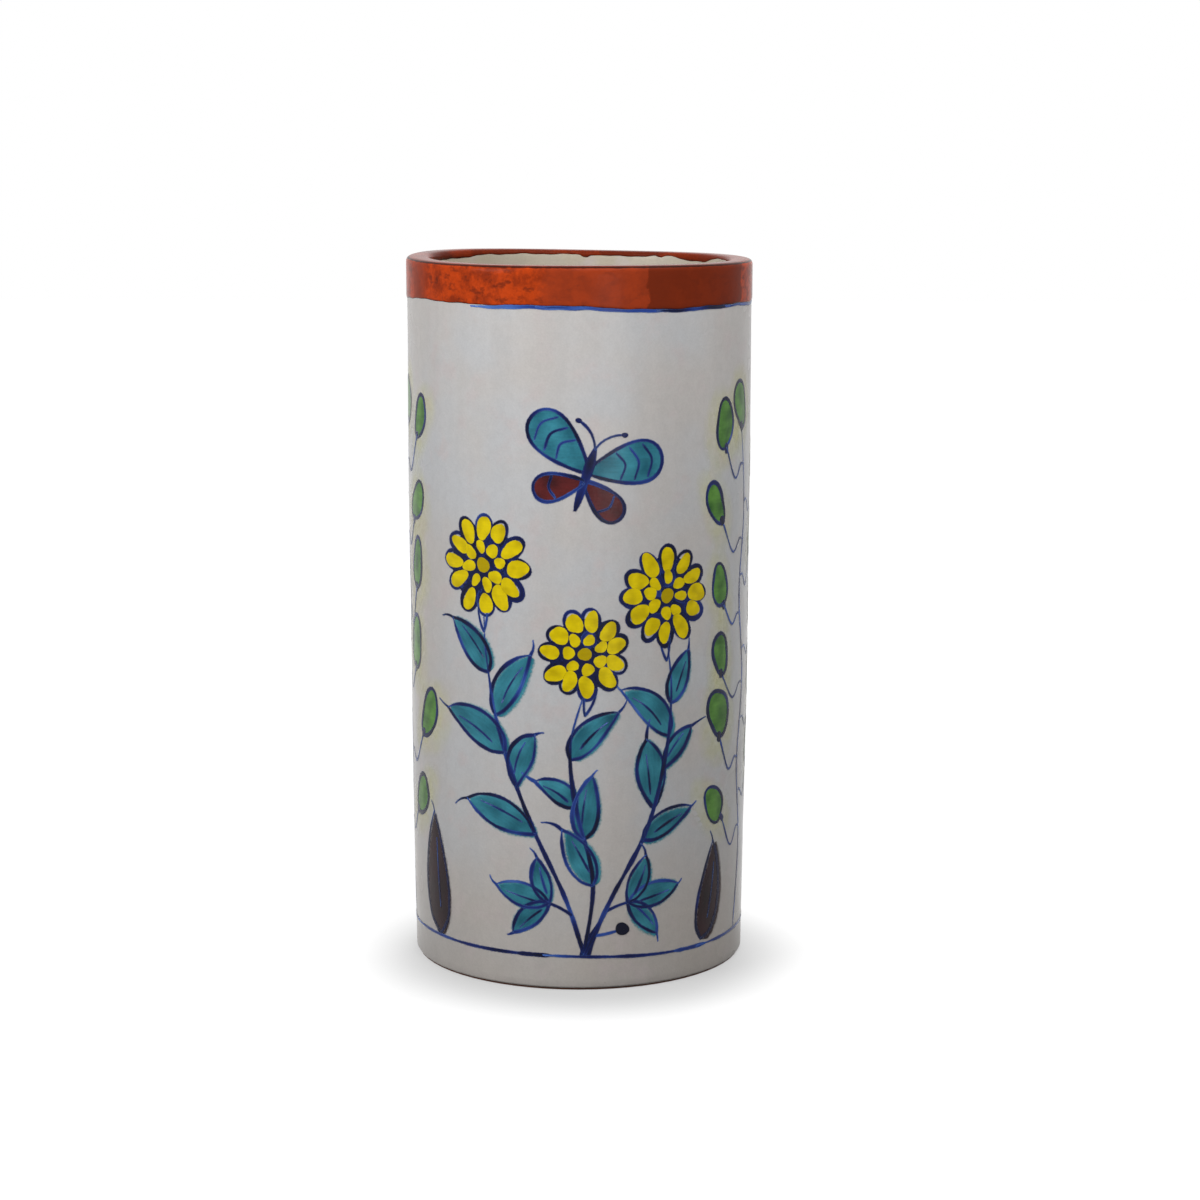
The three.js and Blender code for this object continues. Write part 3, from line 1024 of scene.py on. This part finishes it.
def butterfly(name, centre, tilt, seed):
    """A plain butterfly seen from above, with teal fore wings and maroon hind wings."""
    fill = Paint(name + "_wings", FILL, seed)
    line = Paint(name + "_lines", LINE, seed + 1)
    centre = Vector(centre)
    way = pointing(tilt)
    for side in (-1, 1):
        wing(fill, line, centre - way * 1.5, tilt + side * 118, 18, 13.5, MAROON, (0.6,))
        wing(fill, line, centre + way * 2, tilt + side * 62, 27, 20.0, TEAL, (0.4, 0.58, 0.76))
        feeler = bent(centre + way * 10, tilt + side * 16, 12, side * 62)
        line.stroke(feeler, 0.9, 0.7, 0.05, 0.2)
        tip = loop(feeler[-1], 0.9, 1.1, 0, line.rand)
        line.patch(tip, lambda place: cobalt(0.8), 0.2)
    body = smooth_path((centre - way * 12, centre - way * 4, centre + way * 4, centre + way * 10.5))
    line.stroke(body, 3.6, 0.95, 0.3, 0.25)
    fill.finish()
    line.finish()


VINE_TOP = 196
VINE_LEAVES = 11
FIRST_LEAF, LEAF_EVERY = 0.2, 0.072    # shares of the way up the vine


def round_leaf(fill, line, wash, stalk_end, heading, length, width):
    """A round green leaf with a dark outline, in a stain that has run from it."""
    rand = fill.rand
    way = pointing(heading)
    centre = stalk_end + way * length / 2
    outline = loop(centre, width / 2, length / 2, heading, rand, 0.11)
    colour_at = pooled(GREEN, rand.uniform(0, 50), 4.0, 0.4, 0.9)
    fill.patch([place + Vector((0.2, -0.3)) for place in outline], colour_at, 0.5)
    below = centre + Vector((rand.uniform(-1, 1), -2))
    stain = loop(below, width * 0.95, length * 0.95, heading, rand, 0.1)
    wash.patch(stain, lambda place: HALO, 2.0, cover=0.16, middle=0.4)
    stalk_side = len(outline) // 2
    line.outline(outline, stalk_side, rand.uniform(1.1, 1.6), rand.uniform(0.75, 0.95), 0.03, 0.06)
    knot = smooth_path((centre - way * length * 0.62, centre - way * length * 0.42))
    line.stroke(knot, 2.4, 0.95, 0.3, 0.3)


def vine(name, middle, side, seed):
    """A tall vine with round green leaves on curling stalks, left and right by turns."""
    wash = Paint(name + "_stains", STAIN, seed + 2)
    fill = Paint(name + "_leaves", FILL, seed)
    line = Paint(name + "_lines", LINE, seed + 1)
    rand = fill.rand
    heights = [GROUND + (VINE_TOP - GROUND) * share for share in shares(6)]
    path = smooth_path((middle + side * (2.5 if i % 2 else -2.0), z) for i, z in enumerate(heights))
    line.stroke(path, 1.3, 0.6, 0.02, 0.3)
    for i in range(VINE_LEAVES):
        way = side * (1 if i % 2 else -1)
        base = along_path(path, FIRST_LEAF + LEAF_EVERY * i)[0]
        out = rand.uniform(13, 19)
        end = base + Vector((way * out, rand.uniform(5, 11)))
        sag = base + Vector((way * out * 0.55, rand.uniform(-5, -2)))
        stalk = smooth_path((base, base + Vector((way * out * 0.2, 0.5)), sag, end))
        line.stroke(stalk, 0.85, 0.5, 0.1, 0.1)
        length = rand.uniform(13, 18)
        heading = 90 - way * rand.uniform(0, 50)
        round_leaf(fill, line, wash, end, heading, length, length * rand.uniform(0.6, 0.75))
    tip, heading = along_path(path, 1)
    round_leaf(fill, line, wash, tip, heading, 16, 11)
    for paint in (wash, fill, line):
        paint.finish()


def around(degrees):
    """Millimetres round the outside from the front."""
    return radians(degrees) * FACE_RADIUS


# Upright leaves: place, length and how far they lean to the left, in degrees
TALL_LEAVES = ((around(46), 36, -20), (around(-55), 45, 8), (around(118), 38, -14), (around(-122), 42, 12))


def tall_leaves(name, seed):
    """Upright maroon leaves that stand on the ground line."""
    fill = Paint(name + "_fills", FILL, seed)
    line = Paint(name + "_lines", LINE, seed + 1)
    for middle, length, lean in TALL_LEAVES:
        leaf(fill, line, (middle, GROUND + 0.5), 90 + lean, length, 0.33 * length, -lean,
             colours=DARK_MAROON, low=0.7)
    fill.finish()
    line.finish()


# Strokes of the two cobalt lines: from and to in degrees, width and darkness
RIM_STROKES = ((-37, 9, 1.5, 0.36), (-14, 40, 1.15, 0.4), (25, 62, 1.2, 0.85), (55, 118, 1.1, 0.45),
               (108, 176, 1.4, 0.55), (166, 232, 1.15, 0.4), (222, 268, 1.3, 0.6))
GROUND_STROKES = ((-74, -8, 1.15, 0.6), (-21, -9, 1.5, 0.95), (-12, 42, 1.2, 0.55), (34, 49, 1.5, 0.35),
                  (44, 112, 1.15, 0.5), (104, 178, 1.2, 0.6), (170, 236, 1.15, 0.5), (228, 292, 1.3, 0.65))
DEGREES_APART = 2                # between the points at which a line's height is worked out


def line_round(replaced, seed, strokes, height_at, head, tail):
    """A cobalt line round the wall, in strokes that overlap, instead of the solid one."""
    line = Paint(replaced + "_paint", LINE, seed)
    for start, end, width, darkness in strokes:
        count = round((end - start) / DEGREES_APART)
        path = [Vector((around(start + (end - start) * i / count), 0)) for i in range(count + 1)]
        for place in path:
            place.y = height_at(place.x / FACE_RADIUS, width)
        line.stroke(evenly(path), width, darkness, head, tail)
    return line.finish([replaced])


def rim_line():
    """The line under the band. It laps the band's edge a little."""
    def height_at(angle, width):
        return band_edge(angle) - 0.42 * width

    return line_round("rim_line", 40, RIM_STROKES, height_at, 0.25, 0.3)


def ground_line():
    """The line just above the foot that the plants stand on."""
    def height_at(angle, width):
        return GROUND_LINE_HEIGHT + strayed(angle, GROUND_LINE_RIPPLES)

    return line_round("ground_line", 50, GROUND_STROKES, height_at, 0.2, 0.25)


# Studio, in metres

PAPER_SEEN = (0.16, 0.16, 0.16, 1)   # the floor's colour to the eye, under its white glow
PAPER_LIT = (0.07, 0.07, 0.07, 1)    # its colour for the light that it gives the vase
FLOOR_HALF = 4.0
WHITE_NEAR, WHITE_FAR = 0.9, 1.0     # strength of the floor's white at the vase and far off; less near the vase is a broad painted shade
NEAR, FAR_OFF = 0.1, 0.7             # distances from the painted shadow's centre for these two
CONTACT_WHITE = 0.54                 # share of the white that is left right at the foot
CONTACT_REACH = 0.031                # how far the soft painted contact shadow spreads
PAINTED_SHADOW_CENTRE = (0.002, -0.013, 0)   # the painted shadow lies a little to the front, away from the back light
FAINT_FILL = 0.05                    # strength of the world's light on things
LIT_MIDDLE = (0, 0, 0.13)            # what the lamps face


def seen(tree):
    """1 for what the camera sees straight, in gloss or through glass."""
    path = node(tree, "LightPath")
    most = math_node(tree, "MAXIMUM", path.outputs["Is Camera Ray"], path.outputs["Is Glossy Ray"])
    return math_node(tree, "MAXIMUM", most, path.outputs["Is Transmission Ray"])


def floor_material():
    """Pale paper that shows white, with a soft shadow painted into its glow round the vase, keeps the vase's
    shadow and lights it only a little.
    """
    material = bpy.data.materials.new("floor")
    material.use_nodes = True
    tree = material.node_tree
    tree.nodes.remove(tree.nodes["Principled BSDF"])
    paper = node(tree, "BsdfDiffuse", {"Color": mix(tree, seen(tree), PAPER_LIT, PAPER_SEEN)})
    from_shadow = {0: place_on_object(tree), 1: PAINTED_SHADOW_CENTRE}
    away = node(tree, "VectorMath", from_shadow, operation="DISTANCE").outputs["Value"]
    # painted shadow: the white glow weakens near the vase, and most in a soft ring round its foot
    white = ramp(tree, away, NEAR, FAR_OFF, WHITE_NEAR, WHITE_FAR)
    foot = (CLAY_RADIUS - FOOT_DRAW_IN) * MM
    contact = ramp(tree, away, foot - CONTACT_REACH / 3, foot + CONTACT_REACH, CONTACT_WHITE, 1.0)
    white = math_node(tree, "MULTIPLY", white, contact)
    glow = node(tree, "Emission", {"Strength": math_node(tree, "MULTIPLY", seen(tree), white)})
    both = node(tree, "AddShader", {0: paper.outputs[0], 1: glow.outputs[0]})
    feed(tree, tree.nodes["Material Output"], {"Surface": both.outputs[0]})
    return material


def floor():
    """A wide pale floor at the height of the table."""
    half = FLOOR_HALF
    corners = [(-half, -half, 0), (half, -half, 0), (half, half, 0), (-half, half, 0)]
    mesh = bpy.data.meshes.new("floor")
    mesh.from_pydata(corners, [], [(0, 1, 2, 3)])
    mesh.materials.append(floor_material())
    piece = bpy.data.objects.new("floor", mesh)
    bpy.context.scene.collection.objects.link(piece)


def lamp(name, place, size, power, in_gloss=True):
    """A soft rectangular light that faces the vase, and perhaps shows in glossy surfaces."""
    light = bpy.data.lights.new(name, "AREA")
    light.shape = "RECTANGLE"
    light.size, light.size_y = size
    light.energy = power
    holder = bpy.data.objects.new(name, light)
    holder.location = place
    holder.rotation_euler = (Vector(LIT_MIDDLE) - Vector(place)).to_track_quat("-Z", "Y").to_euler()
    holder.visible_camera = False
    holder.visible_glossy = in_gloss
    bpy.context.scene.collection.objects.link(holder)


def studio():
    """White surroundings to the eye, a faint even fill, soft lights in front, on the left,
    high on the right and behind, and a small one that draws the sheen on the front."""
    world = bpy.data.worlds.new("studio")
    bpy.context.scene.world = world
    world.use_nodes = True
    tree = world.node_tree
    strength = math_node(tree, "MULTIPLY", seen(tree), 1 - FAINT_FILL)
    strength = math_node(tree, "ADD", strength, FAINT_FILL)
    feed(tree, tree.nodes["Background"], {"Strength": strength, "Color": (1, 1, 1, 1)})
    lamp("front", (0.1, -0.45, 0.62), (0.3, 0.3), 1.9)
    lamp("left", (-0.56, -0.36, 0.42), (0.3, 0.3), 3.2)
    lamp("high_right", (0.3, -0.175, 0.7), (0.4, 0.4), 1.7)
    lamp("high_back", (0.15, 0.85, 0.9), (0.5, 0.3), 7, in_gloss=False)
    lamp("sheen", (0.185, -0.57, 0.17), (0.16, 0.18), 0.45)


# The photograph's camera, as fitted to the outline of the vase. Angles are in degrees.
LENS, SENSOR_WIDTH = 82.8, 36
CAMERA_PLACE = (0, -0.995, 0.2976)
LOOKS_DOWN = 9.6
TURNS_RIGHT = 0.414
ROLL = -0.13


def camera():
    """The photograph's viewpoint: a little above the rim, looking slightly down."""
    lens = bpy.data.cameras.new("camera")
    lens.lens = LENS
    lens.sensor_width = SENSOR_WIDTH
    holder = bpy.data.objects.new("camera", lens)
    holder.location = CAMERA_PLACE
    holder.rotation_euler = [radians(turn_by) for turn_by in (90 - LOOKS_DOWN, ROLL, -TURNS_RIGHT)]
    bpy.context.scene.collection.objects.link(holder)
    bpy.context.scene.camera = holder


CLAY = clay_material()
for bare in ("clay_wall", "floor_disc", "corner_coil"):
    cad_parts[bare].data.materials.clear()
    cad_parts[bare].data.materials.append(CLAY)

outer_glaze()
inner_glaze()
rim_band()
rim_line()
ground_line()
plant("front_plant", around(-1), 1, 100)
plant("back_plant", around(182), -1, 200, 1.04)
vine("right_vine", around(70), 1, 300)
vine("left_vine", around(-84), -1, 400)
butterfly("front_butterfly", (around(2), 182), 72, 500)
butterfly("back_butterfly", (around(194), 186), 112, 520)
tall_leaves("tall_leaves", 600)

camera()
studio()
floor()

scene = bpy.context.scene
scene.view_settings.view_transform = "Standard"
